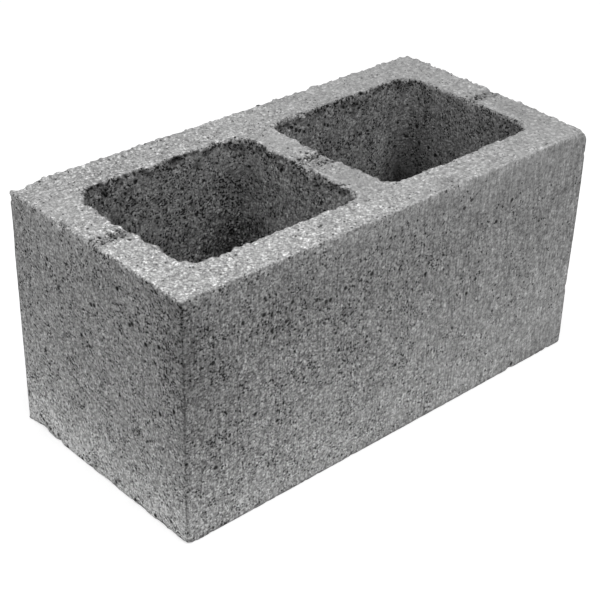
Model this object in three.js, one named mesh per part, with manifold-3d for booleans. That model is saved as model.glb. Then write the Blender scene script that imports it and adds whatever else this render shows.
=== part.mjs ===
// A two-core concrete block with plain ends, moulded in one piece.
//
// Millimetres, +Z up. The origin is the middle of the bottom face, +X runs along the length, and the
// face that lay uppermost in the mould is on top. The block is pressed between a steel mould box and
// two steel cores that hang from a bar across the top of the mould. The cores are drawn out upwards,
// so each cavity is widest at the top face, and the bar leaves a shallow mark across the three webs.
import * as THREE from "three";
import { mergeVertices } from "three/addons/utils/BufferGeometryUtils.js";
import Module from "manifold-3d";

// Overall size: a 16 x 8 x 8 in module, less one 3/8 in mortar joint each way.
const LENGTH = 397;
const WIDTH = 194;
const HEIGHT = 194;

// Walls at the top face, where they are thinnest: the two long face shells and the webs across them.
const FACE_SHELL = 31;
const END_WEB = 30;
const CENTRE_WEB = 27;

// Two cores side by side. Each of their walls leans in by the draft between the top and the bottom face.
const CORE_COUNT = 2;
const CORE_DRAFT = 4.5;
const CORE_CORNER_RADIUS = 16;

// Eased edges: the core mouths, the four upright corners, and the edges of the top and bottom faces.
const MOUTH_RADIUS = 2;
const UPRIGHT_RADIUS = 1;
const FACE_EDGE_RADIUS = 1.2;

// The bar mark: a shallow trough across each web, widest on the centre one, and a little in front of the
// middle of the block. Its front side is steep, and its floor rises gently to its back edge.
const END_MARK_WIDTH = 14;
const CENTRE_MARK_WIDTH = 25;
const BAR_MARK_SHIFT = 1.5;
const BAR_MARK_DEPTH = 1.5;
const BAR_MARK_FRONT_SIDE = 2;
const BAR_MARK_BACK_SIDE = 6;

// How finely curves are drawn, in straight steps for each quarter circle.
const CORNER_STEPS = 8;
const EDGE_STEPS = 3;

const CONCRETE = { name: "concrete", color: 0x9b9b9b, roughness: 0.95, metalness: 0 };

// A rectangle centred on the origin, with round corners.
function roundedRectangle(length, width, radius) {
  const x = length / 2 - radius;
  const y = width / 2 - radius;
  const quarter = Math.PI / 2;
  const outline = new THREE.Shape();
  outline.absarc(x, y, radius, 0, quarter);
  outline.absarc(-x, y, radius, quarter, 2 * quarter);
  outline.absarc(-x, -y, radius, 2 * quarter, 3 * quarter);
  outline.absarc(x, -y, radius, 3 * quarter, 4 * quarter);
  outline.closePath();
  return outline;
}

// Extrudes a centred outline through stations, each a height z and the inset of every side at that height.
// The sides move straight in or out, so round corners keep their radius all the way up.
function loft(outline, stations, curveSegments) {
  const steps = stations.length - 1;
  const geometry = new THREE.ExtrudeGeometry(outline, {
    depth: steps,
    steps,
    curveSegments,
    bevelEnabled: false,
  });
  const position = geometry.getAttribute("position");
  for (let i = 0; i < position.count; i += 1) {
    const x = position.getX(i);
    const y = position.getY(i);
    const { z, inset } = stations[Math.round(position.getZ(i))];
    position.setXYZ(i, x - Math.sign(x) * inset, y - Math.sign(y) * inset, z);
  }
  return geometry;
}

// A quarter circle as pairs: how far along the wall from the face, and how far across from the wall.
// It starts on the face and ends on the wall.
function quarterRound(radius) {
  return Array.from({ length: EDGE_STEPS + 1 }, (_, step) => {
    const angle = (step / EDGE_STEPS) * (Math.PI / 2);
    return { along: radius * (1 - Math.cos(angle)), across: radius * (1 - Math.sin(angle)) };
  });
}

// The outside of the block, with its upright corners and the edges of both bed faces eased.
function outerGeometry() {
  const edge = quarterRound(FACE_EDGE_RADIUS);
  const bottom = edge.map(({ along, across }) => ({ z: along, inset: across }));
  const top = edge.map(({ along, across }) => ({ z: HEIGHT - along, inset: across })).reverse();
  return loft(roundedRectangle(LENGTH, WIDTH, UPRIGHT_RADIUS), [...bottom, ...top], CORNER_STEPS);
}

// One core, at the middle of the block: drafted walls that flare at both mouths, and run on past them.
function coreGeometry(length, width) {
  const wallInset = (z) => CORE_DRAFT * (1 - z / HEIGHT);
  const mouth = (z, flare) => ({ z, inset: wallInset(z) - flare });
  const edge = quarterRound(MOUTH_RADIUS);
  const bottom = edge.map(({ along, across }) => mouth(along, across));
  const top = edge.map(({ along, across }) => mouth(HEIGHT - along, across)).reverse();
  const below = { z: -MOUTH_RADIUS, inset: bottom[0].inset };
  const above = { z: HEIGHT + MOUTH_RADIUS, inset: top[top.length - 1].inset };
  const outline = roundedRectangle(length, width, CORE_CORNER_RADIUS);
  return loft(outline, [below, ...bottom, ...top, above], CORNER_STEPS);
}

// The bar mark between two places along the block.
function barMarkGeometry(start, end, width) {
  const front = -BAR_MARK_SHIFT - width / 2;
  const back = -BAR_MARK_SHIFT + width / 2;
  const floorFront = front + BAR_MARK_FRONT_SIDE;
  const floorBack = back - BAR_MARK_BACK_SIDE;
  const bendFront = (front + floorFront) / 2;
  const bendBack = (back + floorBack) / 2;
  const section = new THREE.Shape();
  section.moveTo(back, BAR_MARK_DEPTH);
  section.lineTo(front, BAR_MARK_DEPTH);
  section.lineTo(front, 0);
  section.bezierCurveTo(bendFront, 0, bendFront, -BAR_MARK_DEPTH, floorFront, -BAR_MARK_DEPTH);
  section.lineTo(floorBack, -BAR_MARK_DEPTH);
  section.bezierCurveTo(bendBack, -BAR_MARK_DEPTH, bendBack, 0, back, 0);
  section.closePath();
  const geometry = new THREE.ExtrudeGeometry(section, {
    depth: end - start,
    curveSegments: 2 * EDGE_STEPS,
    bevelEnabled: false,
  });
  const acrossBlock = new THREE.Vector3(0, 1, 0);
  const upwards = new THREE.Vector3(0, 0, 1);
  const alongBlock = new THREE.Vector3(1, 0, 0);
  geometry.applyMatrix4(new THREE.Matrix4().makeBasis(acrossBlock, upwards, alongBlock));
  return geometry.translate(start, 0, HEIGHT);
}

// The bar mark across every web. Each stretch runs from the middle of one core, or from past one end of
// the block, to the next.
function barMarkGeometries(centres) {
  const pastEnd = LENGTH / 2 + BAR_MARK_DEPTH;
  const stops = [-pastEnd, ...centres, pastEnd];
  return stops.slice(1).map((stop, i) => {
    const onEndWeb = i === 0 || i === centres.length;
    return barMarkGeometry(stops[i], stop, onEndWeb ? END_MARK_WIDTH : CENTRE_MARK_WIDTH);
  });
}

// The middle of each core along X, at equal spacing between the webs.
function coreCentres(coreLength) {
  const pitch = coreLength + CENTRE_WEB;
  return Array.from({ length: CORE_COUNT }, (_, i) => (i - (CORE_COUNT - 1) / 2) * pitch);
}

const wasm = await Module();
wasm.setup();

// A closed geometry as a solid that can be joined and cut.
function toSolid(geometry) {
  const bare = new THREE.BufferGeometry();
  bare.setAttribute("position", geometry.getAttribute("position"));
  const merged = mergeVertices(bare);
  return new wasm.Manifold(
    new wasm.Mesh({
      numProp: 3,
      vertProperties: merged.getAttribute("position").array,
      triVerts: new Uint32Array(merged.index.array),
    }),
  );
}

// A solid as a geometry with flat-shaded faces.
function toGeometry(solid) {
  const { vertProperties, triVerts } = solid.getMesh();
  const indexed = new THREE.BufferGeometry();
  indexed.setAttribute("position", new THREE.BufferAttribute(vertProperties, 3));
  indexed.setIndex(new THREE.BufferAttribute(triVerts, 1));
  const geometry = indexed.toNonIndexed();
  geometry.computeVertexNormals();
  return geometry;
}

// The block: its outside, less its cores and the bar marks.
function blockGeometry() {
  const coreLength = (LENGTH - 2 * END_WEB - (CORE_COUNT - 1) * CENTRE_WEB) / CORE_COUNT;
  const coreWidth = WIDTH - 2 * FACE_SHELL;
  const centres = coreCentres(coreLength);
  const cores = centres.map((x) => coreGeometry(coreLength, coreWidth).translate(x, 0, 0));
  const hollows = [...cores, ...barMarkGeometries(centres)];
  const outer = toSolid(outerGeometry());
  return toGeometry(hollows.reduce((solid, hollow) => solid.subtract(toSolid(hollow)), outer));
}

const block = new THREE.Mesh(blockGeometry(), new THREE.MeshStandardMaterial(CONCRETE));
block.name = "block";

const part = new THREE.Group();
part.add(block);

export default part;
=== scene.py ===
"""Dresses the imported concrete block: one dense, grainy surface, its concrete, and a plain studio.

Metres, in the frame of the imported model: +X along the block, +Z up, the origin under its middle.
"""

import math

import bmesh
import bpy
import numpy as np
from mathutils import Matrix, Vector


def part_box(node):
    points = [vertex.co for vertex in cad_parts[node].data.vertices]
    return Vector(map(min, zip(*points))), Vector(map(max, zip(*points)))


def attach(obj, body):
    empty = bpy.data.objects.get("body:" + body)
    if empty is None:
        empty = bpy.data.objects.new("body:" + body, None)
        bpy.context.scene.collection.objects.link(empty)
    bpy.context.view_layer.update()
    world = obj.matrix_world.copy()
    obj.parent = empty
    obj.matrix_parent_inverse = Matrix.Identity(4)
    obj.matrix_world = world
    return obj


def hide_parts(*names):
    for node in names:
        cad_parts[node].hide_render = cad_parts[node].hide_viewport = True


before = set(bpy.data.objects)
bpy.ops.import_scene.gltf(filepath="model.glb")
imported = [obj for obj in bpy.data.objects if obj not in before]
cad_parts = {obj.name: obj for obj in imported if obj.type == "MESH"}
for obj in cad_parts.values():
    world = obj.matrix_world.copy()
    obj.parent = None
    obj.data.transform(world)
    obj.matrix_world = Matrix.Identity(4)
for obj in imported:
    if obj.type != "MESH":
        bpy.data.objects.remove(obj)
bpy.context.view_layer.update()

LOW, HIGH = (np.array(corner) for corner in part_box("block"))
LENGTH, WIDTH, HEIGHT = (float(side) for side in HIGH - LOW)
MM = 0.001

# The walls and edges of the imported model.
FACE_SHELL = 31 * MM
END_WEB = 30 * MM
CENTRE_WEB = 27 * MM
CORE_DRAFT = 4.5 * MM
CORE_CORNER = 16 * MM
MOUTH_ROUND = 2 * MM
UPRIGHT_ROUND = 1 * MM
FACE_ROUND = 1.2 * MM
END_MARK_WIDTH = 14 * MM
CENTRE_MARK_WIDTH = 25 * MM
BAR_MARK_SHIFT = 1.5 * MM
BAR_MARK_DEPTH = 1.5 * MM
BAR_MARK_FRONT_SIDE = 2 * MM
BAR_MARK_BACK_SIDE = 6 * MM

CORE_LENGTH = (LENGTH - 2 * END_WEB - CENTRE_WEB) / 2
CORE_WIDTH = WIDTH - 2 * FACE_SHELL
CORE_MIDDLE = (CORE_LENGTH + CENTRE_WEB) / 2

# How finely the surface is divided: columns round a cell, rows along each stretch of its section, and
# steps along each rounded edge.
LONG_COLUMNS = 114
END_COLUMNS = 112
CORE_ROWS = 26
TOP_ROWS = 21
WALL_ROWS = 57
BOTTOM_ROWS = 7
ROUND_STEPS = 2
# How closely the rows of the core walls crowd towards the top, and those of the outside towards its edges.
CORE_CROWDING = 1.5
EDGE_CROWDING = 0.62
# The least radius of a corner that is moved in, and what stands for a radius of 0 where it divides.
LEAST_ROUND = 0.1 * MM
NO_ROUND = 1e-9
# Points that agree to this many digits of a metre are one.
POINT_DIGITS = 7


# ------------------------ the plain surface


def side(length, start_round, end_round, steps):
    """Points along one side of a round-cornered outline, from the middle of its first corner.

    Each row is the distance along the side and the distance in from it.
    """
    eighth = math.pi / 4
    straight = length - start_round - end_round
    total = eighth * start_round + straight + eighth * end_round
    run = np.arange(steps) / steps * total
    leaving = run < eighth * start_round
    arriving = run > eighth * start_round + straight
    turn = np.where(leaving, eighth - run / max(start_round, NO_ROUND), 0.0)
    turn = np.where(arriving, (run - eighth * start_round - straight) / max(end_round, NO_ROUND), turn)
    radius = np.where(leaving, start_round, end_round)
    along = run - eighth * start_round + start_round
    along = np.where(leaving, start_round * (1 - np.sin(turn)), along)
    along = np.where(arriving, length - end_round * (1 - np.sin(turn)), along)
    inwards = np.where(leaving | arriving, radius * (1 - np.cos(turn)), 0.0)
    return np.stack([along, inwards], axis=1)


def ring(x_low, x_high, y_half, rounds):
    """A round-cornered rectangle as points, starting at its front corner on the low side of X."""
    corners = [(x_low, -y_half), (x_high, -y_half), (x_high, y_half), (x_low, y_half)]
    headings = [(1, 0), (0, 1), (-1, 0), (0, -1)]
    columns = [LONG_COLUMNS, END_COLUMNS, LONG_COLUMNS, END_COLUMNS]
    lengths = [x_high - x_low, 2 * y_half] * 2
    points = []
    for i in range(4):
        stretch = side(lengths[i], rounds[i], rounds[(i + 1) % 4], columns[i])
        ahead = np.array(headings[i])
        inwards = np.array([-ahead[1], ahead[0]])
        points.append(corners[i] + stretch[:, :1] * ahead + stretch[:, 1:] * inwards)
    return np.concatenate(points)


def outer_ring(inset):
    """The outline of the far half of the block, moved in by the inset, and cut at the centre web."""
    corner = max(UPRIGHT_ROUND - inset, LEAST_ROUND)
    return ring(0.0, LENGTH / 2 - inset, WIDTH / 2 - inset, [0.0, corner, corner, 0.0])


def core_ring(inset):
    """The outline of the far core, moved in by the inset from its size at the top face."""
    near = CENTRE_WEB / 2 + inset
    far = LENGTH / 2 - END_WEB - inset
    return ring(near, far, CORE_WIDTH / 2 - inset, [CORE_CORNER] * 4)


def draft_at(z):
    """How far a core's walls lean in at that height."""
    return CORE_DRAFT * (1 - z / HEIGHT)


def graded(start, end, rows):
    """Steps from start to end, both included, that crowd towards both ends."""
    even = np.linspace(0, 1, rows + 1)
    return start + (end - start) * (even - EDGE_CROWDING * np.sin(2 * math.pi * even) / (2 * math.pi))


def cell_section():
    """The rings of the far half of the block, in order round its section, and which are on its outside."""
    quarter = [math.pi / 2 * step / ROUND_STEPS for step in range(ROUND_STEPS + 1)]
    rings = []
    upper, lower = HEIGHT - MOUTH_ROUND, MOUTH_ROUND
    for share in np.linspace(1, 0, CORE_ROWS + 1)[:-1]:
        z = upper + (lower - upper) * share**CORE_CROWDING
        rings.append((core_ring(draft_at(z)), z, False))
    for turn in quarter:
        z = HEIGHT - MOUTH_ROUND * (1 - math.sin(turn))
        rings.append((core_ring(draft_at(z) - MOUTH_ROUND * (1 - math.cos(turn))), z, False))
    mouth, edge = rings[-1][0], outer_ring(FACE_ROUND)
    for share in np.arange(1, TOP_ROWS) / TOP_ROWS:
        rings.append((mouth + (edge - mouth) * share, HEIGHT, False))
    for turn in quarter[:-1]:
        inset = FACE_ROUND * (1 - math.sin(turn))
        rings.append((outer_ring(inset), HEIGHT - FACE_ROUND * (1 - math.cos(turn)), True))
    for z in graded(HEIGHT - FACE_ROUND, FACE_ROUND, WALL_ROWS)[:-1]:
        rings.append((outer_ring(0.0), z, True))
    for turn in quarter[:-1]:
        inset = FACE_ROUND * (1 - math.cos(turn))
        rings.append((outer_ring(inset), FACE_ROUND * (1 - math.sin(turn)), True))
    rings.append((edge, 0.0, False))
    mouth = core_ring(draft_at(0) - MOUTH_ROUND)
    for share in np.arange(1, BOTTOM_ROWS) / BOTTOM_ROWS:
        rings.append((edge + (mouth - edge) * share, 0.0, False))
    for turn in quarter[::-1][:-1]:
        z = MOUTH_ROUND * (1 - math.sin(turn))
        rings.append((core_ring(draft_at(z) - MOUTH_ROUND * (1 - math.cos(turn))), z, False))
    return rings


def block_surface():
    """Vertices and quads of the plain block: its far half and the mirror image of that, joined."""
    section = cell_section()
    columns = len(section[0][0])
    rows = len(section)
    far = np.concatenate([np.column_stack([flat, np.full(columns, z)]) for flat, z, _ in section])
    row, column = np.meshgrid(np.arange(rows), np.arange(columns), indexing="ij")
    after, beside = (row + 1) % rows, (column + 1) % columns
    quads = np.stack([row * columns + column, after * columns + column,
                      after * columns + beside, row * columns + beside], axis=-1)
    on_outside = np.array([outside for _, _, outside in section])[:, None]
    on_seam = column >= 2 * LONG_COLUMNS + END_COLUMNS
    quads = quads[~(on_outside & on_seam)]
    near = far * (-1, 1, 1)
    vertices = np.concatenate([far, near])
    faces = np.concatenate([quads, quads[:, ::-1] + len(far)])
    rounded = np.round(vertices, POINT_DIGITS)
    _, first, where = np.unique(rounded, axis=0, return_index=True, return_inverse=True)
    faces = where.reshape(-1)[faces]
    used, faces = np.unique(faces, return_inverse=True)
    return vertices[first][used], faces.reshape(-1, 4)


# ------------------------ noise

# What mixes a cell's place and a seed into a number that looks random.
WORD = np.uint64(0xFFFFFFFF)
AXIS_FACTORS = np.array((73856093, 19349663, 83492791), dtype=np.uint64)
SEED_FACTOR = 2654435761
MIXING_STEPS = ((15, 2246822519), (13, 3266489917))
LAST_SHIFT = np.uint64(16)

# Layers of smooth noise: the size of the waves in millimetres, for each axis where it differs, and a seed.
NOISES = {
    "drag_marks": ((1.9, 1.9, 20), 41),
    "mould_grain": (2.3, 43),
    "mould_waves": ((14, 14, 22), 44),
    "core_waves": ((6, 6, 10), 61),
    "core_grain": (2.4, 62),
    "bottom_grain": (3, 92),
    "bar_mark_sides": (8, 101),
    "bar_mark_grain": (2.6, 142),
    "large_bites": (5, 111),
    "small_bites": (2.5, 112),
    "mouth_waves": (17, 131),
    "mouth_ripples": (5, 132),
    "mouth_grain": (2.7, 133),
}

# Layers of round bumps: the size of their cells in millimetres, a seed, and their least and greatest
# radius as shares of a cell.
DOMES = {
    "top_grains": (3.0, 11, 0.35, 0.8),
    "top_crumbs": (1.7, 21, 0.4, 0.8),
    "top_gaps": (6, 31, 0.12, 0.36),
    "outer_pits": ((6, 6, 8), 51, 0.12, 0.32),
    "core_pits": (6, 71, 0.15, 0.42),
    "core_holes": (13, 81, 0.08, 0.27),
    "bottom_gaps": (5, 91, 0.15, 0.4),
    "nicks": (9, 121, 0.1, 0.33),
    "mouth_crumbs": (4.5, 134, 0.3, 0.6),
    "bar_mark_gaps": (5, 141, 0.25, 0.5),
    "edge_crumbs": (4, 151, 0.3, 0.7),
    "shaded_undercuts": ((6.5, 6.5, 5), 161, 0.25, 0.6),
    "foot_chips": ((14, 14, 6), 171, 0.2, 0.5),
}


def hashed(cells, seed):
    """A repeatable random number from 0 to 1 for each whole-number cell."""
    x, y, z = np.moveaxis(cells.astype(np.int64).astype(np.uint64) * AXIS_FACTORS, -1, 0)
    mixed = (x ^ y ^ z) & WORD
    mixed = mixed + np.uint64(seed * SEED_FACTOR % 2**32) & WORD
    for shift, factor in MIXING_STEPS:
        mixed = (mixed ^ mixed >> np.uint64(shift)) * np.uint64(factor) & WORD
    return (mixed ^ mixed >> LAST_SHIFT) / WORD


def smooth_noise(points, name):
    """The layer of smooth noise with that name, from -1 to 1."""
    size, seed = NOISES[name]
    scaled = points / (np.array(size) * MM)
    cell = np.floor(scaled)
    part = scaled - cell
    part = part * part * (3 - 2 * part)
    total = np.zeros(len(points))
    for corner in np.ndindex(2, 2, 2):
        share = np.prod(np.where(corner, part, 1 - part), axis=1)
        total += share * hashed(cell + corner, seed)
    return 2 * total - 1


def domes(points, name):
    """The layer of round bumps with that name, from 0 to 1: one bump in each of its cells."""
    size, seed, smallest, largest = DOMES[name]
    scaled = points / (np.array(size) * MM)
    cell = np.floor(scaled)
    highest = np.zeros(len(points))
    for step in np.ndindex(3, 3, 3):
        near = cell + step - 1
        centre = near + np.stack([hashed(near, seed + axis) for axis in range(3)], axis=1)
        radius = smallest + (largest - smallest) * hashed(near, seed + 3)
        away = np.linalg.norm(scaled - centre, axis=1) / radius
        highest = np.maximum(highest, np.sqrt(np.clip(1 - away**2, 0, None)) * radius / largest)
    return highest


# ------------------------ relief

# How far a grain may stand out of the plain block.
STAND_OUT = 2 * MM
# The sharpest turn between two faces that is left as it is, and how often and how far the vertices of
# sharper ones are moved towards their neighbours.
SHARPEST_TURN = math.radians(85)
SETTLING_PASSES = 4
SETTLING_SHARE = 0.5
# Between which upward parts of its normal a face begins to belong to the top, and between which
# downward parts to the bottom.
TOP_SLOPES = (0.65, 0.95)
BOTTOM_SLOPES = (0.35, 0.9)
# The outside ends this far in, where the core walls begin.
OUTSIDE_DEPTH = 10 * MM
# Where the level part of a normal is shorter than this, the surface sways less.
LEAST_LEVEL = 0.3
# How far the wear of an arris reaches.
ARRIS_REACH = 4 * MM
# The reach of one missing grain, in millimetres.
GRAIN_REACH = 1.8

# Marks of this one block, in millimetres: the place, the reach along each axis, and the push at its middle.
LOCAL_MARKS = (
    # The near web's inner rim wanders.
    ((-171, 13.5, 193), (5, 7.5, 10), (-2.9, 0, 0)),
    ((-171, 0.5, 193), (5, 6, 6), (3.1, 0, 1.0)),
    ((-169, 42, 193), (5, 9, 8), (1.2, 0, 0)),
    ((-168.5, -11, 193), (4, 4, 6), (2.3, 0, 0)),
    ((-168, -32, 192), (5, 5, 8), (3.8, 0, 0)),
    ((-167, -41, 193), (3, 3, 6), (-1.2, 0, 0)),
    # The near end's top edge is torn at one place and swells at another, and the front one is worn at one.
    ((-198.5, 37, 193), (4, 5, 4), (2.6, 0, -2.6)),
    ((-198.5, -85, 194), (5, 24, 8), (-1.4, 0, 0)),
    ((51, -97, 194), (9, 5, 5), (0, 3.2, -0.8)),
    # The near core's rear rim crumbles over the opening, above a slot in the wall.
    ((-99.5, 64, 193), (5, 4, 4), (0, -4.5, 0)),
    ((-107, 66, 194), (4, 5, 5), (0, 1.0, 0)),
    ((-75.5, 65, 188.5), (6, 6, 3), (0, 5, 0)),
    # The centre web leans a little towards the near core, and its rims wander.
    ((-13.5, 0, 194), (8, 45, 12), (-1.4, 0, 0)),
    ((-13.5, -10, 193), (4, 5, 5), (1.5, 0, 0)),
    ((13.5, -5, 194), (8, 45, 12), (-0.8, 0, 0)),
    ((13.5, -36, 194), (4, 4, 5), (1.6, 0, 0.5)),
    ((13.5, -51, 194), (4, 4, 5), (1.4, 0, 0.3)),
    # The rear rims of both cores wander.
    ((-128, 66, 194), (26, 6, 8), (0, 1.2, 0)),
    ((-40, 66, 194), (22, 6, 8), (0, -1.0, 0)),
    ((108, 66, 194), (55, 6, 8), (0, 1.1, 0)),
    ((60, 66, 194), (7, 6, 8), (0, -1.5, 0)),
    ((42, 66, 194), (6, 6, 8), (0, 1.4, 0)),
    # The far web's inner rim wanders.
    ((169, 10.5, 194), (6, 8, 8), (-1.3, 0, 0)),
    ((168.5, 0, 194), (7, 50, 10), (0.8, 0, 0)),
    # Three corners of the near core are uneven.
    ((-166, 58, 194), (9, 9, 30), (3.5, -3, 0)),
    ((-170, 52, 193), (5, 5, 8), (-2.6, 0, 0)),
    ((-160, -62, 194), (10, 8, 30), (0.5, 0.5, 0)),
    ((-157, -66, 194), (5, 4, 8), (0, 1.2, 0)),
    ((-168, -58, 194), (4, 4, 8), (-0.8, -0.6, 0)),
    ((-18, -62, 194), (8, 8, 30), (1.7, -1.3, 0)),
    # The near end's rear corner is blunt, and its arris is hollow.
    ((-198.5, 97, 194), (5, 5, 5), (1.7, -0.8, -0.6)),
    ((-198.5, 97, 171), (8, 8, 20), (0.5, -0.2, 0)),
    ((-188, 97, 195), (9, 6, 5), (0, -1.2, -2.4)),
    # Crumbs stand on the far edge, which sinks towards the blunt far corner, and the far arris is hollow.
    ((198, 27, 195), (3, 4, 4), (0, 0, 1.6)),
    ((198, 11, 195), (3, 4, 4), (0, 0, 1.3)),
    ((198, -5, 195), (3, 3, 3), (0, 0, 2)),
    ((198.5, -82, 195), (8, 34, 6), (-1.2, 0, -1.4)),
    ((198.5, -97, 194), (4, 4, 5), (-1.2, 0.8, -2)),
    ((198.5, -97, 140), (8, 8, 60), (1.2, -0.3, 0)),
    # The foot is broken.
    ((-198.5, 80, 2), (4, 9, 5), (1.6, 0, 0.4)),
    ((-198.5, 57, 2), (3, 3, 3), (1.4, 0, 0.6)),
    ((134, -97, 1), (3, 4, 3), (0, 0.8, 1.2)),
    ((-198.5, -97, 0), (4, 4, 4), (0.8, 0.8, 1.4)),
)

# Single grains that have fallen out, in millimetres: along and across the top face, most of them in or
# beside the bar marks, along and up the front face, across and up the near end, across and up the far
# web's inner wall, and along and up the rear walls of the cores.
TOP_HOLES = (
    (-174, 3), (-180, 1.5), (-179.5, -2), (-175.5, -5.5), (-174, -1), (-175, -12), (-190.5, -4.5),
    (-195, 3.5), (-188, 3.5), (4.5, -5.5), (8.5, -5.5), (4, 11), (10.5, -10.5), (-11, -12), (-6, 8),
    (180, 1), (184, 3.5), (187, -1), (192, 3), (174, 2), (7.5, 3), (10.5, 14.5), (12, 22), (4.5, -8),
    (-197, 37.5), (-197, 33.5), (-197.3, 30),
)
FRONT_HOLES = (
    (-124, 143), (-71, 146), (-75, 146), (-84, 151), (-106, 158), (-149, 159), (-131, 158), (-111, 145),
    (-57, 150), (-61, 101), (-174, 139), (-118, 67), (-173, 54), (-138, 82), (-2, 63), (-32, 152),
    (81, 105), (68, 176), (61, 172), (40, 192), (115, 161), (72, 96), (99, 148), (24, 131), (137, 4),
    (-165, 1),
)
END_HOLES = (
    (-41, 151), (-44, 153), (17, 115), (8, 110), (66, 78), (-29, 173), (56, 154), (54, 159), (3, 146),
    (-1, 147), (-58, 144), (-72, 149), (-71, 96), (-86, 106), (80, 12), (77, 10), (73, 8.5), (69, 6),
    (58, 6), (-15, 6), (-38, 4), (-61, 4), (-79, 10), (46, 2), (27, 2), (-36, 1.5), (-89, 2),
)
FAR_WALL_HOLES = ((52, 154), (48.5, 140), (61.5, 164), (37.5, 139.5), (29.5, 135.5))
REAR_WALL_HOLES = (
    (-154, 192), (-149, 192), (-143, 192), (-136, 192), (-130.5, 192), (-119.5, 192), (-112.5, 192),
    (-107, 192), (-95, 191), (-92, 191), (-66, 192), (-41, 192), (-35, 192), (-124, 188), (-145, 182),
    (-142, 179), (-122, 179.5), (-130.5, 177), (-82, 186), (-70, 167), (-87.5, 160), (-86, 155),
    (71, 192), (77.5, 192), (86, 191), (88.5, 192), (101, 192), (105, 192), (115.5, 192), (120.5, 192),
    (129.5, 189), (154, 192), (158, 192), (110, 185), (112.5, 181), (95, 186), (74, 177.5), (123, 158),
    (123.5, 155), (157, 156), (163.5, 143), (148, 140), (155, 134.5),
)


def fades(distance, reach):
    """1 at no distance, and near 0 past the reach."""
    return np.exp(-(distance / reach) ** 2 * 2)


def rises(value, low, high):
    """A smooth step from 0 at the low value to 1 at the high one."""
    part = np.clip((value - low) / (high - low), 0, 1)
    return part * part * (3 - 2 * part)


def outside_distance(points):
    """How far in each point is from the nearest side of the block, seen from above."""
    return np.minimum(LENGTH / 2 - np.abs(points[:, 0]), WIDTH / 2 - np.abs(points[:, 1]))


def upright_distance(points):
    """How far each point is from the nearest upright arris of the outside, seen from above."""
    return np.hypot(LENGTH / 2 - np.abs(points[:, 0]), WIDTH / 2 - np.abs(points[:, 1]))


def mouth_distance(points):
    """How far each point is from the nearest core's wall, seen from above: negative inside the core."""
    inset = draft_at(points[:, 2])
    x = np.abs(np.abs(points[:, 0]) - CORE_MIDDLE) - (CORE_LENGTH / 2 - inset - CORE_CORNER)
    y = np.abs(points[:, 1]) - (CORE_WIDTH / 2 - inset - CORE_CORNER)
    outside = np.hypot(np.maximum(x, 0), np.maximum(y, 0))
    return outside + np.minimum(np.maximum(x, y), 0) - CORE_CORNER


def zones_of(points, normals):
    """Which part of the block each vertex is on: shares of the top face, the core walls and the bottom."""
    top = rises(normals[:, 2], *TOP_SLOPES)
    bottom = rises(-normals[:, 2], *BOTTOM_SLOPES)
    core = np.where(outside_distance(points) > OUTSIDE_DEPTH, 1 - top - bottom, 0)
    return {"top": top, "core": core, "bottom": bottom, "outer": 1 - top - bottom - core}


def top_relief(points):
    """Height over the top face, in millimetres: packed grains with gaps between them."""
    grains = 0.8 * domes(points, "top_grains") + 0.5 * domes(points, "top_crumbs")
    return grains - 1.3 * domes(points, "top_gaps") - 0.42


def outer_relief(points):
    """Height over the outside, in millimetres: the mould's drag marks, run downwards, and small pits."""
    drag = 0.05 + 0.07 * smooth_noise(points, "drag_marks") + 0.08 * smooth_noise(points, "mould_grain")
    return drag + 0.1 * smooth_noise(points, "mould_waves") - 1.1 * domes(points, "outer_pits")


def core_relief(points):
    """Height over the core walls, in millimetres: coarse, with many holes, most of them near the mouth."""
    coarse = 0.1 + 0.35 * smooth_noise(points, "core_waves") + 0.3 * smooth_noise(points, "core_grain")
    torn = rises(points[:, 2], HEIGHT - 30 * MM, HEIGHT - 6 * MM)
    return coarse - 1.3 * domes(points, "core_pits") - (1.8 + 0.8 * torn) * domes(points, "core_holes")


def bottom_relief(points):
    """Height under the bottom face, in millimetres: flat from the pallet, with open gaps."""
    return -0.1 - 0.1 * smooth_noise(points, "bottom_grain") - 0.9 * domes(points, "bottom_gaps")


def bar_mark_share(points):
    """1 in the mark that the core bar left across the webs of the top face, and 0 clear of it."""
    centre_web = 1 - rises(np.abs(points[:, 0]), CENTRE_WEB, 2 * CENTRE_WEB)
    half = (END_MARK_WIDTH + (CENTRE_MARK_WIDTH - END_MARK_WIDTH) * centre_web) / 2
    across = points[:, 1] + BAR_MARK_SHIFT + 0.9 * MM * smooth_noise(points, "bar_mark_sides")
    front = rises(across, -half, BAR_MARK_FRONT_SIDE - half)
    behind = 1 - rises(across, half - BAR_MARK_BACK_SIDE, half)
    return front * behind * fades(HEIGHT - points[:, 2], 7 * MM)


def bar_mark_relief(points):
    """Height over the floor of the bar mark, in millimetres: torn, with loose grains."""
    torn = 0.4 - 2.2 * domes(points, "bar_mark_gaps") + 0.6 * smooth_noise(points, "bar_mark_grain")
    return bar_mark_share(points) * torn


def lost_grains(points):
    """1 where a single grain is missing from the top face, and 0 elsewhere."""
    lost = np.zeros(len(points))
    for x, y in TOP_HOLES:
        lost = np.maximum(lost, closeness(points, (x, y, HEIGHT / MM), GRAIN_REACH))
    return lost


def foot_chips(points, normals):
    """1 in the hollows along the foot of the two ends, and 0 elsewhere."""
    return domes(points, "foot_chips") * fades(points[:, 2], ARRIS_REACH) * np.abs(normals[:, 0])


def shaded_undercuts(points):
    """1 in the hollows under the rims of the cores, which are sunk and painted with shade, and 0 elsewhere.
    """
    under_rim = fades(HEIGHT - 4 * MM - points[:, 2], 11 * MM)
    return domes(points, "shaded_undercuts") * under_rim * (1 - clean_rim(points))


def clean_rim(points):
    """1 at the inner rim of the far web, which is cleaner than the others, and 0 away from it."""
    return closeness(points, (170, 0, 190), (10, 62, 25))


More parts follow.
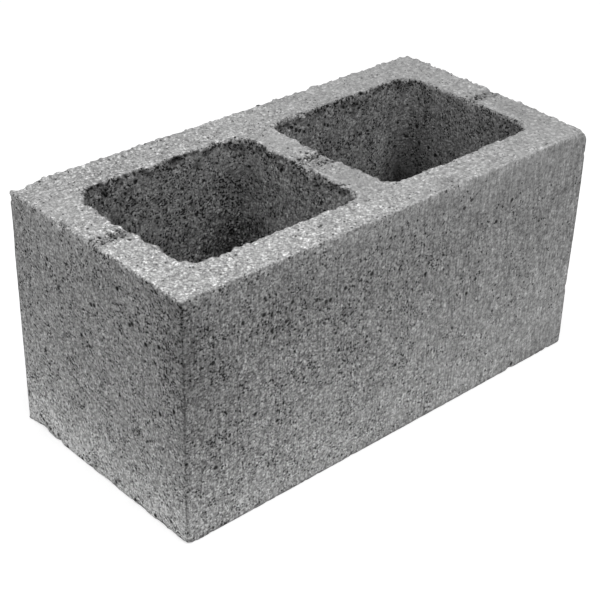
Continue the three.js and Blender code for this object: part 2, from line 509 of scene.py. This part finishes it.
def edge_relief(points):
    """Height at the arrises, in millimetres, along each vertex's normal: nicks, bites and crumbs."""
    to_top, to_bottom = HEIGHT - points[:, 2], points[:, 2]
    outer_edge = np.hypot(outside_distance(points), np.minimum(to_top, to_bottom))
    mouth_edge = np.hypot(mouth_distance(points), np.minimum(to_top, to_bottom))
    bites = smooth_noise(points, "large_bites") + 0.8 * smooth_noise(points, "small_bites")
    nicks = domes(points, "nicks")
    crumbs = domes(points, "edge_crumbs")
    worn = (0.2 * bites - 0.8 * nicks) * fades(outer_edge, ARRIS_REACH)
    torn = (0.5 * bites - 1.2 * nicks + 0.8 * crumbs) * fades(mouth_edge, ARRIS_REACH)
    lip = 0.8 * fades(np.hypot(WIDTH / 2 - np.abs(points[:, 1]), to_bottom), 3 * MM)
    worn += torn * (1 - 0.8 * clean_rim(points)) + burr(points, crumbs) + lip
    return worn - 0.1 * np.abs(bites) * fades(upright_distance(points), 3 * MM)


def burr(points, crumbs):
    """Height of what stands along the top edges, in millimetres: most at the rear and the far end."""
    rear = rises(points[:, 1], 0, WIDTH / 2)
    far_end = rises(points[:, 0], 0.9 * HIGH[0], HIGH[0]) * rises(points[:, 1], -WIDTH / 2, -60 * MM)
    top_edge = np.hypot(outside_distance(points), HEIGHT - points[:, 2])
    return ((0.25 + 1.5 * rear + 1.3 * far_end) * crumbs + 1.2 * rear) * fades(top_edge, ARRIS_REACH)


def mouth_sway(points):
    """How far the core mouths wander from straight, in millimetres."""
    near_rim = fades(mouth_distance(points), 8 * MM) * fades(HEIGHT - points[:, 2], 22 * MM)
    near_rim *= 1 - 0.7 * clean_rim(points)
    wander = 0.5 * smooth_noise(points, "mouth_waves") + 0.6 * smooth_noise(points, "mouth_ripples")
    grains = 2.2 * domes(points, "mouth_crumbs") - 0.5
    return (wander + grains + 0.6 * smooth_noise(points, "mouth_grain")) * near_rim


def closeness(points, place, reach):
    """1 at a place and near 0 past the reach, both given in millimetres."""
    away = np.linalg.norm((points / MM - place) / reach, axis=1)
    return np.exp(-away**2)


def relief(points, normals, zones):
    """The displaced vertices, and how high each stands over the plain surface in millimetres."""
    height = (zones["top"] * top_relief(points) + zones["outer"] * outer_relief(points)
              + zones["core"] * core_relief(points) + zones["bottom"] * bottom_relief(points))
    height += edge_relief(points) + bar_mark_relief(points) - 1.5 * lost_grains(points)
    height -= 1.6 * zones["core"] * shaded_undercuts(points) + 1.4 * foot_chips(points, normals)
    level = normals * (1, 1, 0)
    level /= np.maximum(np.linalg.norm(level, axis=1), LEAST_LEVEL)[:, None]
    moved = points + (normals * height[:, None] + level * mouth_sway(points)[:, None]) * MM
    moved -= normals * (BAR_MARK_DEPTH * bar_mark_share(points))[:, None]
    for place, reach, push in LOCAL_MARKS:
        moved += closeness(points, place, reach)[:, None] * np.array(push) * MM
    lowest = LOW - (STAND_OUT, STAND_OUT, 0)
    return np.clip(moved, lowest, HIGH + STAND_OUT), height


# ------------------------ greys

# The plain grey of each zone, before its grains, gaps and pits. The core walls' lower grey is partly their
# own and partly painted shade in the cores.
ZONE_GREYS = {"top": 0.515, "outer": 0.466, "core": 0.395, "bottom": 0.45}
# How pitted each zone is, from 0 up, and the bar marks.
ZONE_PITS = {"top": 0.3, "outer": 0.8, "core": 1.5, "bottom": 1.0}
MARK_PITS = 2.5
# How strongly each zone's grains differ: the fresh walls of the cores most.
ZONE_CONTRASTS = {"top": 1.05, "outer": 1.0, "core": 1.18, "bottom": 1.1}

# Between which parts of its normal along an axis a face begins to look that way.
FACING = (0.3, 0.7)

# The outside by its height in millimetres, and its factor there: pale at the foot, which is painted bounce
# light from the floor.
OUTER_TONES = ((0, 1.5), (25, 1.36), (50, 1.18), (100, 1.0), (145, 0.92), (188, 0.95), (194, 1.15))

# The darkest and most pitted place in the near core, deep in its rear corner by the centre web, where shade
# is painted: its middle and its reach, in millimetres.
DEEP_CORNER = ((-27, 66, 98), (29, 26, 30))

# Darker and paler places, some of them stains and some painted shade: the zone, the place and the reach
# along each axis in millimetres, and the factor on the grey there.
STAINS_AND_SHADE = (
    ("top", (198, 97, 194), (280, 150, 20), 0.84),
    ("top", (49, -91, 194), (10, 9, 8), 0.64),
    ("top", (150, -81, 194), (110, 40, 20), 0.9),
    ("top", (184, -40, 194), (16, 30, 20), 0.8),
    ("top", (-198, -48, 194), (4, 40, 5), 1.2),
    ("top", (0, -40, 194), (16, 26, 20), 0.79),
    ("top", (-184, -10, 194), (16, 45, 20), 1.08),
    ("top", (-140, -70, 194), (90, 50, 20), 1.09),
    ("top", (-150, 84, 194), (60, 30, 20), 0.92),
    ("outer", (-198, -97, 150), (30, 24, 46), 0.8),
    ("outer", (-192, -97, 150), (8, 5, 45), 0.84),
    ("outer", (-178, -97, 90), (28, 10, 34), 0.91),
    ("outer", (-50, -97, 184), (50, 10, 10), 1.12),
    ("outer", (-79, -97, 188.5), (7, 6, 4), 1.4),
    ("outer", (-98, -97, 162), (40, 20, 22), 0.84),
    ("outer", (97, -97, 187), (32, 10, 8), 1.15),
    ("outer", (190, -97, 16), (60, 20, 24), 0.82),
    ("outer", (-198, -72, 188), (6, 26, 9), 0.84),
    ("outer", (-198, -20, 165), (12, 24, 18), 0.88),
    ("outer", (-198, -25, 14), (12, 24, 12), 0.88),
    ("outer", (-198, 62, 14), (5, 12, 9), 1.12),
    ("outer", (-198, 76, 0), (6, 18, 4), 0.6),
    # Painted shade deep in the rear corners of both cores and up these corners, and on the far web's inner
    # wall.
    ("core", *DEEP_CORNER, 0.2),
    ("core", (-18, 62, 145), (9, 14, 40), 0.65),
    ("core", (168, 60, 96), (26, 26, 30), 0.2),
    ("core", (168, 60, 140), (12, 16, 20), 0.7),
    ("core", (172, 20, 110), (20, 90, 90), 0.55),
    ("core", (0, 66, 194), (400, 20, 26), 0.82),
    # Painted shade in the far core's rounded rear corner.
    ("core", (156, 66, 112), (14, 10, 26), 0.65),
    # Painted shade: nearly black in the slot under the near core's rear rim.
    ("core", (-75.5, 66, 192.5), (7.5, 5, 2.4), 0.03),
    ("core", (-88, 66, 125), (34, 20, 55), 1.12),
    ("core", (-35, 66, 186), (26, 12, 14), 1.3),
    # Painted shade along where the near shell hides the near core's rear wall, in this line and the next.
    ("core", (-150, 66, 170), (24, 20, 24), 0.8),
    ("core", (-116, 66, 136), (16, 20, 12), 0.82),
    ("core", (-131.5, 66, 159), (5, 8, 5), 0.4),
    ("core", (-13, 30, 184), (12, 28, 9), 1.18),
    ("core", (-142, 66, 180), (5, 8, 4), 0.55),
    ("core", (-139.5, 66, 188), (5, 8, 4), 1.4),
    # Painted shade along where the near shell hides the near core's rear wall.
    ("core", (-97, 66, 118), (30, 20, 16), 0.77),
    ("core", (-13, -45, 182), (12, 18, 12), 1.3),
    ("core", (36, 66, 183), (20, 16, 12), 1.28),
    ("core", (137, 66, 122), (16, 16, 28), 1.45),
    ("core", (168, -40, 182), (12, 34, 14), 0.72),
)

# Calmer and livelier places: the zone, the place and the reach along each axis in millimetres, and the
# factor on how strongly the grains differ there.
GRAIN_PLACES = (
    ("top", (0, -42, 194), (18, 24, 20), 0.54),
    ("top", (0, 36, 194), (18, 18, 20), 0.54),
    ("top", (-184, 55, 194), (22, 30, 20), 0.7),
    ("top", (184, -40, 194), (20, 30, 20), 0.72),
    ("top", (175, -84, 194), (45, 25, 20), 0.7),
    ("top", (35, -84, 194), (60, 25, 20), 0.82),
    ("outer", (-140, -97, 14), (75, 20, 16), 0.85),
    ("outer", (175, -97, 26), (50, 20, 28), 0.85),
    ("outer", (-198, 30, 187), (12, 26, 10), 0.83),
    ("core", (168, -5, 186), (14, 70, 12), 0.7),
    ("core", (-45, 66, 186), (22, 16, 10), 0.72),
    ("core", (-13, 15, 158), (14, 18, 26), 1.27),
)


def by_zone(zones, values):
    """The value at each vertex, of those that the zones have."""
    return sum(zones[name] * values[name] for name in values)


def place_factors(places, points, zones):
    """The product of the factors of all the places, at each vertex."""
    factors = np.ones(len(points))
    for zone, place, reach, factor in places:
        factors *= 1 + (factor - 1) * closeness(points, place, reach) * zones[zone]
    return factors


def facing_front(normals):
    """1 where the surface looks to the front, and 0 where it looks elsewhere."""
    return rises(-normals[:, 1], *FACING)


def outer_tone(points, normals):
    """The factor on the outside's grey: by height, with painted bounce light at the foot; along the block;
    and on its ends, which are painted lighter than the front, most at their foot.
    """
    heights, tones = zip(*OUTER_TONES)
    tone = np.interp(points[:, 2] / MM, heights, tones)
    towards_far = 0.01 + 0.04 * points[:, 2] / HEIGHT - 0.09 * fades(points[:, 2], 45 * MM)
    tone *= 1 + towards_far * points[:, 0] / HIGH[0]
    # Painted light: the ends come out paler than the front, most at their foot.
    on_end = 0.13 + 0.12 * rises(-points[:, 2], -60 * MM, 0) + 0.05 * points[:, 1] / HIGH[1]
    return tone * (1 + on_end * np.abs(normals[:, 0]))


def edge_tone(points, normals, zones):
    """The factor on the grey beside the outside's upright arrises and at its foot, where the shadow line
    against the floor is painted.
    """
    # Painted shadow: the last few millimetres of the foot darken where the block meets the floor.
    darker_arrises_and_foot_shadow = 0.5 * fades(upright_distance(points), 1.6 * MM) + 0.35 * fades(points[:, 2], 2.5 * MM)
    at_foot = 0.17 * fades(points[:, 2], 10 * MM) * np.abs(normals[:, 1])
    return (1 - darker_arrises_and_foot_shadow * zones["outer"]) * (1 - at_foot * zones["outer"])


def mark_tone(points, zones):
    """The factor on the grey in the bar marks: darker on the centre web."""
    darker = 0.27 - 0.2 * rises(-np.abs(points[:, 0]), -2 * CENTRE_WEB, -CENTRE_WEB)
    return 1 - darker * bar_mark_share(points) * zones["top"]


def greys(points, normals, zones, height):
    """The concrete's grey at each vertex, without its fine grain, with painted light and shade: bounce
    light at the outside's foot, and shade in the cores' corners, in the hollows and along the foot.
    """
    grey = by_zone(zones, ZONE_GREYS)
    grey *= 1 + zones["outer"] * (outer_tone(points, normals) - 1)
    grey *= place_factors(STAINS_AND_SHADE, points, zones)
    grey *= edge_tone(points, normals, zones)
    grey *= mark_tone(points, zones)
    # Painted shade in the hollows: the lost grains, those under the core rims, the chips at the foot, and
    # wherever the relief sinks below the plain surface.
    grey *= 1 - 0.6 * lost_grains(points)
    grey *= 1 - 0.7 * zones["core"] * shaded_undercuts(points)
    grey *= 1 - 0.6 * foot_chips(points, normals)
    return grey * (0.45 + 0.55 * rises(height, -2.6, -0.4))


def pittedness(points, normals, zones):
    """How pitted the concrete is, from 0 up."""
    pitted = by_zone(zones, ZONE_PITS)
    near_arris = rises(-points[:, 1], 0, WIDTH / 2) * rises(points[:, 2], 60 * MM, 150 * MM)
    pitted += zones["outer"] * np.abs(normals[:, 0]) * (0.2 + 0.8 * near_arris)
    pitted *= 1 - 3 * smooth_band(points, normals) * zones["outer"]
    front = zones["outer"] * facing_front(normals)
    pitted *= 1 - 0.7 * front * rises(points[:, 0] / HIGH[0], -0.4, 0.8)
    pitted *= 1 - 0.3 * front * fades(points[:, 2], 80 * MM)
    pitted += 0.8 * zones["core"] * fades(HEIGHT - points[:, 2], 14 * MM)
    pitted += 2 * zones["core"] * closeness(points, *DEEP_CORNER)
    return pitted + (MARK_PITS - pitted) * bar_mark_share(points)


def brokenness(points, zones):
    """How broken the core walls are, from 0 up: most under the rims, except the clean one."""
    under_rim = fades(HEIGHT - 5 * MM - points[:, 2], 16 * MM) * (1 - clean_rim(points))
    return zones["core"] * (0.05 + under_rim)


def contrast(points, normals, zones):
    """How strongly the grains differ: more on the two ends, and less towards the far corner."""
    strength = by_zone(zones, ZONE_CONTRASTS)
    strength += 0.2 * zones["outer"] * np.abs(normals[:, 0])
    strength += 2.0 * zones["core"] * closeness(points, *DEEP_CORNER)
    far = rises(points[:, 0] / HIGH[0] + points[:, 1] / HIGH[1], 0, 2)
    strength *= 1 - (0.15 * zones["outer"] + 0.35 * zones["top"]) * far
    strength *= 1 - 0.12 * zones["top"] * rises(points[:, 0] / HIGH[0], -0.2, 0.6)
    strength *= place_factors(GRAIN_PLACES, points, zones)
    return strength * (1 - smooth_band(points, normals) * zones["outer"])


def smooth_band(points, normals):
    """How much smoother the front face is just under its top edge: most towards its far end."""
    away = rises(points[:, 0] / HIGH[0], -0.8, 0.6)
    under_edge = rises(points[:, 2], HEIGHT - 45 * MM, HEIGHT - 12 * MM)
    return facing_front(normals) * under_edge * (0.08 + 0.15 * away)


def fineness(points, normals, zones):
    """How strongly the finest sand shows: most near the front arris, least on the front's far half."""
    away = rises(points[:, 0] / HIGH[0], -0.8, 1)
    behind = 0.5 + 0.5 * points[:, 1] / HIGH[1]
    front = zones["outer"] * facing_front(normals)
    near_end = zones["outer"] * rises(-normals[:, 0], *FACING)
    fine = 1 + front * (0.4 - 0.95 * away) - near_end * 0.3 * behind
    return fine + zones["top"] * (0.1 - 0.15 * behind - (0.75 - 0.4 * behind) * away)


# ------------------------ the block


def vertex_normals(mesh):
    """The normal of each vertex, as rows."""
    normals = np.empty(3 * len(mesh.vertices))
    mesh.vertex_normals.foreach_get("vector", normals)
    return normals.reshape(-1, 3)


def settle(mesh):
    """Relaxes the few vertices where the relief turns too sharply between two faces."""
    shape = bmesh.new()
    shape.from_mesh(mesh)
    for _ in range(SETTLING_PASSES):
        shape.normal_update()
        sharp = [vertex for vertex in shape.verts
                 if any(edge.calc_face_angle() > SHARPEST_TURN for edge in vertex.link_edges)]
        bmesh.ops.smooth_vert(shape, verts=sharp, factor=SETTLING_SHARE,
                              use_axis_x=True, use_axis_y=True, use_axis_z=True)
    shape.to_mesh(mesh)
    shape.free()


def vertex_values(points, normals, zones, height):
    """What the material reads at each vertex."""
    core, outer = zones["core"], zones["outer"]
    return {
        "grey": greys(points, normals, zones, height),
        "pitted": pittedness(points, normals, zones),
        "top": zones["top"],
        "contrast": contrast(points, normals, zones),
        "fine": fineness(points, normals, zones),
        "broken": brokenness(points, zones),
        "rear": core * rises(points[:, 1], 0, 20 * MM),
        "drag": outer * (0.3 + 0.6 * np.abs(normals[:, 1])) + 0.5 * core,
    }


def make_block():
    """The block's surface: the plain one, displaced, with its values and its material."""
    vertices, faces = block_surface()
    mesh = bpy.data.meshes.new("block_surface")
    mesh.from_pydata(vertices.tolist(), [], faces.tolist())
    normals = vertex_normals(mesh)
    zones = zones_of(vertices, normals)
    moved, height = relief(vertices, normals, zones)
    mesh.vertices.foreach_set("co", moved.reshape(-1))
    settle(mesh)
    mesh.polygons.foreach_set("use_smooth", [True] * len(mesh.polygons))
    for name, values in vertex_values(vertices, normals, zones, height).items():
        layer = mesh.attributes.new(name, "FLOAT", "POINT")
        layer.data.foreach_set("value", values.astype(np.float32))
    mesh.update()
    mesh.materials.append(concrete())
    block = bpy.data.objects.new("block_surface", mesh)
    bpy.context.collection.objects.link(block)
    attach(block, "root")
    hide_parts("block")


# ------------------------ concrete

# The size of the material's cells, in millimetres: the sand, the grains and the stones.
SAND_SIZE = 1.1
GRAIN_SIZE = 2.1
STONE_SIZE = 5.0
# The shares of the sand and the grains that have fallen out where the walls are pitted by 1, and of the
# stones where they are broken by 1.
SAND_LOST = 0.06
GRAINS_LOST = 0.1
STONES_LOST = 0.18
# Over how much of a share a cell turns from kept to lost.
LOST_STEP = 0.01
# The size of the material's noises, in millimetres: what bends the cells and by how much, the roughness,
# the clumps of pits, the drag marks and how long they are drawn, and the broad patches.
BEND_SIZE = 1.6
BEND = 0.6
ROUGH_SIZE = 4.5
CLUMP_SIZE = 18.0
DRAG_SIZE = 1.7
DRAG_STRETCH = 12.0
PATCH_SIZE = 60.0
# Most of a noise lies between these.
NOISE_RANGE = (0.3, 0.7)
# The shade in a pit.
PIT_SHADE = 0.14
# The radii of the listed holes, at their floor and at their rim, in millimetres, and a distance that is
# past them all.
WALL_HOLE = (1.2, 2.0)
REAR_HOLE = (0.8, 1.7)
TOP_HOLE = (0.8, 1.5)
FAR_AWAY = 100.0
ROUGHNESS = 0.95
SPECULAR = 0.1


class Graph:
    """Builds a material's nodes, with sizes in millimetres. A value is a number or an output socket."""

    def __init__(self, tree):
        self.tree = tree
        position = self.add("ShaderNodeTexCoord").outputs["Object"]
        self.position = self.vector("SCALE", position, scale=1 / MM)

    def add(self, kind, **settings):
        node = self.tree.nodes.new(kind)
        for name, value in settings.items():
            setattr(node, name, value)
        return node

    def feed(self, socket, value):
        if isinstance(value, bpy.types.NodeSocket):
            self.tree.links.new(value, socket)
        else:
            socket.default_value = value

    def vector(self, operation, a, b=(1, 1, 1), scale=1):
        node = self.add("ShaderNodeVectorMath", operation=operation)
        self.feed(node.inputs[0], a)
        if operation == "SCALE":
            self.feed(node.inputs["Scale"], scale)
        else:
            self.feed(node.inputs[1], b)
        return node.outputs[0]

    def math(self, operation, a, b):
        node = self.add("ShaderNodeMath", operation=operation)
        self.feed(node.inputs[0], a)
        self.feed(node.inputs[1], b)
        return node.outputs[0]

    def chain(self, operation, *values):
        result = values[0]
        for value in values[1:]:
            result = self.math(operation, result, value)
        return result

    def product(self, *values):
        return self.chain("MULTIPLY", *values)

    def greatest(self, *values):
        return self.chain("MAXIMUM", *values)

    def remap(self, value, low, high, new_low=0.0, new_high=1.0):
        node = self.add("ShaderNodeMapRange")
        for name, number in (("Value", value), ("From Min", low), ("From Max", high),
                             ("To Min", new_low), ("To Max", new_high)):
            self.feed(node.inputs[name], number)
        return node.outputs[0]

    def spread(self, lot, low, high):
        """A random number from 0 to 1, as one from low to high."""
        return self.remap(lot, 0.0, 1.0, low, high)

    def swing(self, noise, low, high):
        """A noise, as a number from low to high."""
        return self.remap(noise, *NOISE_RANGE, low, high)

    def within(self, distance, inner, outer):
        """1 nearer than the inner distance, and 0 past the outer one."""
        return self.remap(distance, inner, outer, 1.0, 0.0)

    def mix(self, share, a, b):
        node = self.add("ShaderNodeMix", data_type="FLOAT")
        self.feed(node.inputs["Factor"], share)
        self.feed(node.inputs["A"], a)
        self.feed(node.inputs["B"], b)
        return node.outputs["Result"]

    def stretched(self, down):
        """The position squeezed along Z, so that what is drawn on it runs downwards."""
        return self.vector("MULTIPLY", self.position, (1, 1, 1 / down))

    def noise(self, size, detail=2.0, roughness=0.5, position=None, output="Fac"):
        node = self.add("ShaderNodeTexNoise")
        self.feed(node.inputs["Vector"], position or self.position)
        self.feed(node.inputs["Scale"], 1 / size)
        self.feed(node.inputs["Detail"], detail)
        self.feed(node.inputs["Roughness"], roughness)
        return node.outputs[output]

    def cells(self, size, position):
        """The distance from the nearest cell's centre, in cell sizes, and two random numbers for it."""
        node = self.add("ShaderNodeTexVoronoi")
        self.feed(node.inputs["Vector"], position)
        self.feed(node.inputs["Scale"], 1 / size)
        lots = self.add("ShaderNodeSeparateColor")
        self.feed(lots.inputs[0], node.outputs["Color"])
        return node.outputs["Distance"], lots.outputs[0], lots.outputs[1]

    def nearest(self, position, places):
        """The distance to the nearest of the places, in millimetres."""
        least = FAR_AWAY
        for place in places:
            node = self.add("ShaderNodeVectorMath", operation="DISTANCE")
            self.feed(node.inputs[0], position)
            self.feed(node.inputs[1], place)
            least = self.math("MINIMUM", node.outputs["Value"], least)
        return least

    def value(self, name):
        return self.add("ShaderNodeAttribute", attribute_name=name).outputs["Fac"]


class Concrete(Graph):
    """The nodes of the concrete: grains and sand of its own, shaped by the values at the vertices."""

    def __init__(self, tree):
        super().__init__(tree)
        bend = self.noise(BEND_SIZE, 1.0, output="Color")
        self.bent = self.vector("ADD", self.position, self.vector("SCALE", bend, scale=BEND))
        self.grain_away, self.grain_lot, self.grain_fate = self.cells(GRAIN_SIZE, self.bent)
        self.sand_away, self.sand_lot, self.sand_fate = self.cells(SAND_SIZE, self.bent)
        self.rough = self.noise(ROUGH_SIZE, 3.0, 0.7)
        self.top = self.value("top")
        self.fine = self.value("fine")

    def lost(self, share, fate):
        """1 in the cells that have fallen out, which are that share of them, and 0 in the others."""
        return self.remap(self.math("SUBTRACT", share, fate), 0.0, LOST_STEP)

    def random_pits(self):
        """1 where sand, a grain or a stone has fallen out, and 0 elsewhere."""
        clumps = self.remap(self.noise(CLUMP_SIZE, 3.0, 0.6), 0.4, 0.65, 0.1, 2.0)
        pitted = self.product(self.value("pitted"), clumps)
        sand_pit = self.lost(self.product(pitted, SAND_LOST), self.sand_fate)
        grain_pit = self.lost(self.product(pitted, GRAINS_LOST), self.grain_fate)
        grain_pit = self.product(grain_pit, self.within(self.grain_away, 0.4, 0.55))
        stone_away, _, stone_fate = self.cells(STONE_SIZE, self.bent)
        ragged = self.math("ADD", stone_away, self.swing(self.rough, -0.16, 0.16))
        stone_pit = self.lost(self.product(self.value("broken"), STONES_LOST), stone_fate)
        stone_pit = self.product(stone_pit, self.within(ragged, 0.26, 0.38))
        return self.greatest(sand_pit, grain_pit, stone_pit)

    def placed_pits(self):
        """1 in the single holes whose places are listed, and 0 elsewhere."""
        on_walls = [(x, LOW[1] / MM, z) for x, z in FRONT_HOLES]
        on_walls += [(LOW[0] / MM, y, z) for y, z in END_HOLES]
        on_walls += [((HIGH[0] - END_WEB - draft_at(z * MM)) / MM, y, z) for y, z in FAR_WALL_HOLES]
        wall_pit = self.within(self.nearest(self.bent, on_walls), *WALL_HOLE)
        from_front = self.vector("MULTIPLY", self.bent, (1, 0, 1))
        rear_away = self.nearest(from_front, [(x, 0, z) for x, z in REAR_WALL_HOLES])
        rear_pit = self.product(self.value("rear"), self.within(rear_away, *REAR_HOLE))
        from_above = self.vector("MULTIPLY", self.bent, (1, 1, 0))
        top_away = self.nearest(from_above, [(x, y, 0) for x, y in TOP_HOLES])
        top_pit = self.product(self.top, self.within(top_away, *TOP_HOLE))
        return self.greatest(wall_pit, rear_pit, top_pit)

    def tone(self, pit):
        """The factor on the grey, from the grains, the sand, the drag marks and the pits."""
        odd_grain = self.math("POWER", self.grain_lot, 3.0)
        bright_sand = self.math("POWER", self.sand_lot, 2.0)
        grain = self.mix(self.top, self.spread(odd_grain, 1.1, 0.76), self.spread(odd_grain, 0.88, 1.5))
        sand = self.mix(self.top, self.spread(self.sand_lot, 0.58, 1.42),
                        self.spread(bright_sand, 0.74, 1.5))
        coarse = self.math("POWER", self.swing(self.rough, 0.8, 1.2), self.math("SUBTRACT", 2.2, self.fine))
        streak = self.noise(DRAG_SIZE, 2.0, 0.6, self.stretched(DRAG_STRETCH))
        tone = self.product(
            grain,
            self.math("POWER", sand, self.fine),
            self.remap(self.grain_away, 0.42, 0.8, 1.0, 0.65),
            coarse,
            self.swing(self.noise(PATCH_SIZE), 0.95, 1.05),
            self.mix(self.value("drag"), 1.0, self.swing(streak, 0.66, 1.34)),
            self.spread(pit, 1.0, PIT_SHADE))
        return self.math("POWER", tone, self.value("contrast"))

    def raised(self, pit):
        """The height of the finest grain, in millimetres."""
        grains = self.math("ADD", self.remap(self.grain_away, 0.0, 0.8, 0.4, 0.0),
                           self.remap(self.sand_away, 0.0, 0.8, 0.2, 0.0))
        grains = self.math("ADD", grains, self.product(self.rough, 0.6))
        return self.product(self.math("SUBTRACT", grains, self.product(pit, 0.5)), self.fine)


def concrete():
    material = bpy.data.materials.new("concrete")
    material.use_nodes = True
    graph = Concrete(material.node_tree)
    pit = graph.greatest(graph.random_pits(), graph.placed_pits())
    shader = material.node_tree.nodes["Principled BSDF"]
    graph.feed(shader.inputs["Base Color"], graph.product(graph.value("grey"), graph.tone(pit)))
    graph.feed(shader.inputs["Roughness"], ROUGHNESS)
    graph.feed(shader.inputs["Specular IOR Level"], SPECULAR)
    bump = graph.add("ShaderNodeBump")
    graph.feed(bump.inputs["Distance"], MM)
    graph.feed(bump.inputs["Strength"], 1.0)
    graph.feed(bump.inputs["Height"], graph.raised(pit))
    graph.feed(shader.inputs["Normal"], bump.outputs["Normal"])
    return material


# ------------------------ the studio

# Where the camera stands, as seen from the origin, and how far it is tilted to one side.
CAMERA_AZIMUTH = math.radians(-42.853)
CAMERA_ELEVATION = math.radians(31.183)
CAMERA_ROLL = math.radians(1.385)
CAMERA_DISTANCE = 1.1569
# Where the origin lies from the middle of the picture, at the camera's distance.
ORIGIN_RIGHT = 0.0055
ORIGIN_UP = -0.0623
LENS_MM = 86.42

FLOOR_SIZE = 12
FLOOR_GREY = 0.55
FLOOR_ROUGHNESS = 0.9
# How brightly the floor glows to what sees it, how strongly the sky lights things, and how bright it looks.
FLOOR_GLOW = 0.66
SKY_LIGHT = 0.45
SKY_SEEN = 1.0
WHITE = (1, 1, 1, 1)

LAMP_PLACE = (-0.17, -0.25, 1.5)
LAMP_SIZE = 1.0
LAMP_POWER = 11


def make_camera():
    """The camera of the photo."""
    level_distance = math.cos(CAMERA_ELEVATION)
    back = Vector((math.sin(CAMERA_AZIMUTH) * level_distance, -math.cos(CAMERA_AZIMUTH) * level_distance,
                   math.sin(CAMERA_ELEVATION)))
    level = Vector((math.cos(CAMERA_AZIMUTH), math.sin(CAMERA_AZIMUTH), 0))
    upright = back.cross(level)
    right = level * math.cos(CAMERA_ROLL) + upright * math.sin(CAMERA_ROLL)
    up = upright * math.cos(CAMERA_ROLL) - level * math.sin(CAMERA_ROLL)
    turned = Matrix((right, up, back)).transposed().to_4x4()
    place = back * CAMERA_DISTANCE - right * ORIGIN_RIGHT - up * ORIGIN_UP
    data = bpy.data.cameras.new("camera")
    data.lens = LENS_MM
    camera = bpy.data.objects.new("camera", data)
    camera.matrix_world = Matrix.Translation(place) @ turned
    bpy.context.collection.objects.link(camera)
    bpy.context.scene.camera = camera


def sight_rays(tree):
    """1 for rays from the camera, from reflections and through glass, and 0 for those that light things."""
    path = tree.nodes.new("ShaderNodeLightPath")
    seen = path.outputs["Is Camera Ray"]
    for name in ("Is Glossy Ray", "Is Transmission Ray"):
        either = tree.nodes.new("ShaderNodeMath")
        either.operation = "MAXIMUM"
        tree.links.new(seen, either.inputs[0])
        tree.links.new(path.outputs[name], either.inputs[1])
        seen = either.outputs[0]
    return seen


def strength_from(tree, lighting, seen):
    """A strength that is one number for the rays that light things and another for those that see."""
    node = tree.nodes.new("ShaderNodeMapRange")
    node.inputs["To Min"].default_value = lighting
    node.inputs["To Max"].default_value = seen
    tree.links.new(sight_rays(tree), node.inputs["Value"])
    return node.outputs[0]


def make_floor():
    """A plain pale floor, white to the camera."""
    bpy.ops.mesh.primitive_plane_add(size=FLOOR_SIZE)
    floor = bpy.context.object
    floor.name = "floor"
    material = bpy.data.materials.new("floor")
    material.use_nodes = True
    tree = material.node_tree
    shader = tree.nodes["Principled BSDF"]
    shader.inputs["Base Color"].default_value = (FLOOR_GREY, FLOOR_GREY, FLOOR_GREY, 1)
    shader.inputs["Roughness"].default_value = FLOOR_ROUGHNESS
    shader.inputs["Emission Color"].default_value = WHITE
    tree.links.new(strength_from(tree, 0.0, FLOOR_GLOW), shader.inputs["Emission Strength"])
    floor.data.materials.append(material)


def make_world():
    """An even sky: soft light on things, and a white background to the camera."""
    world = bpy.data.worlds.new("world")
    bpy.context.scene.world = world
    world.use_nodes = True
    tree = world.node_tree
    background = tree.nodes["Background"]
    background.inputs["Color"].default_value = WHITE
    tree.links.new(strength_from(tree, SKY_LIGHT, SKY_SEEN), background.inputs["Strength"])


def make_lamp():
    """The key light: a soft disk that looks at the middle of the block."""
    data = bpy.data.lights.new("key", "AREA")
    data.shape = "DISK"
    data.size = LAMP_SIZE
    data.energy = LAMP_POWER
    lamp = bpy.data.objects.new("key", data)
    lamp.location = LAMP_PLACE
    towards_block = Vector((0, 0, HEIGHT / 2)) - Vector(LAMP_PLACE)
    lamp.rotation_euler = towards_block.to_track_quat("-Z", "Y").to_euler()
    bpy.context.collection.objects.link(lamp)


make_camera()
make_block()
make_floor()
make_world()
make_lamp()
bpy.context.scene.view_settings.view_transform = "Standard"
